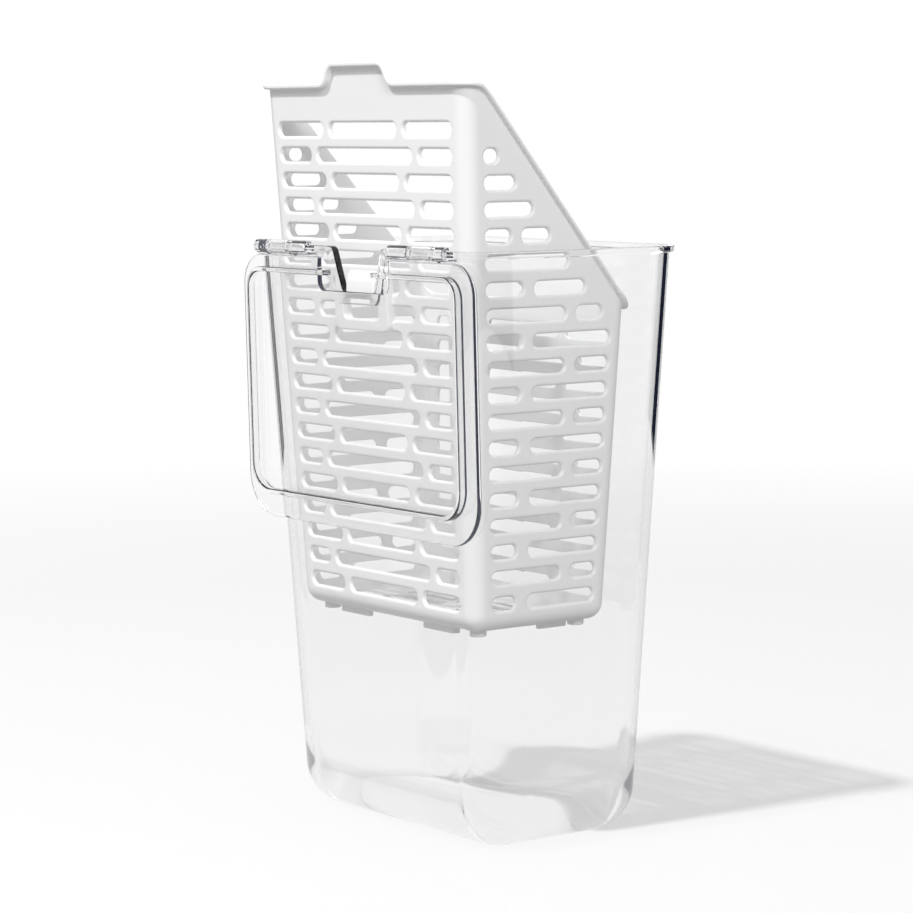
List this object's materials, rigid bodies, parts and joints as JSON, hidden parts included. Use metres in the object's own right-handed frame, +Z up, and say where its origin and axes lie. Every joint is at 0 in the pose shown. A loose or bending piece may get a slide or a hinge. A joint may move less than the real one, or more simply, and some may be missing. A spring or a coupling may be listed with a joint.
{
  "type": "produce keeper",
  "caption": "Tall clear tapered container with a notched front rim and a flip lid hanging open, and a white slotted basket perched half out of it on the notch.",
  "frame": {"origin": "middle of the container's flat base, on the shelf it stands on", "axes": "+Z up; +X along the lid's hinge line; -Y is the front, the side of the notch and the hinge"},
  "size_m": [0.1666, 0.1148, 0.3139],
  "materials": {
    "clear": "clear, glossy",
    "white": "opaque white, satin"
  },
  "bodies": {
    "keeper": {"container": "clear", "basket": "white"},
    "lid": {"lid": "clear"}
  },
  "joints": [
    {"name": "lid_hinge", "type": "hinge", "parent": "keeper", "child": "lid", "pos_m": [0, -0.057, 0.239], "axis": [-1, 0, 0], "range_deg": [-1, 175]}
  ]
}
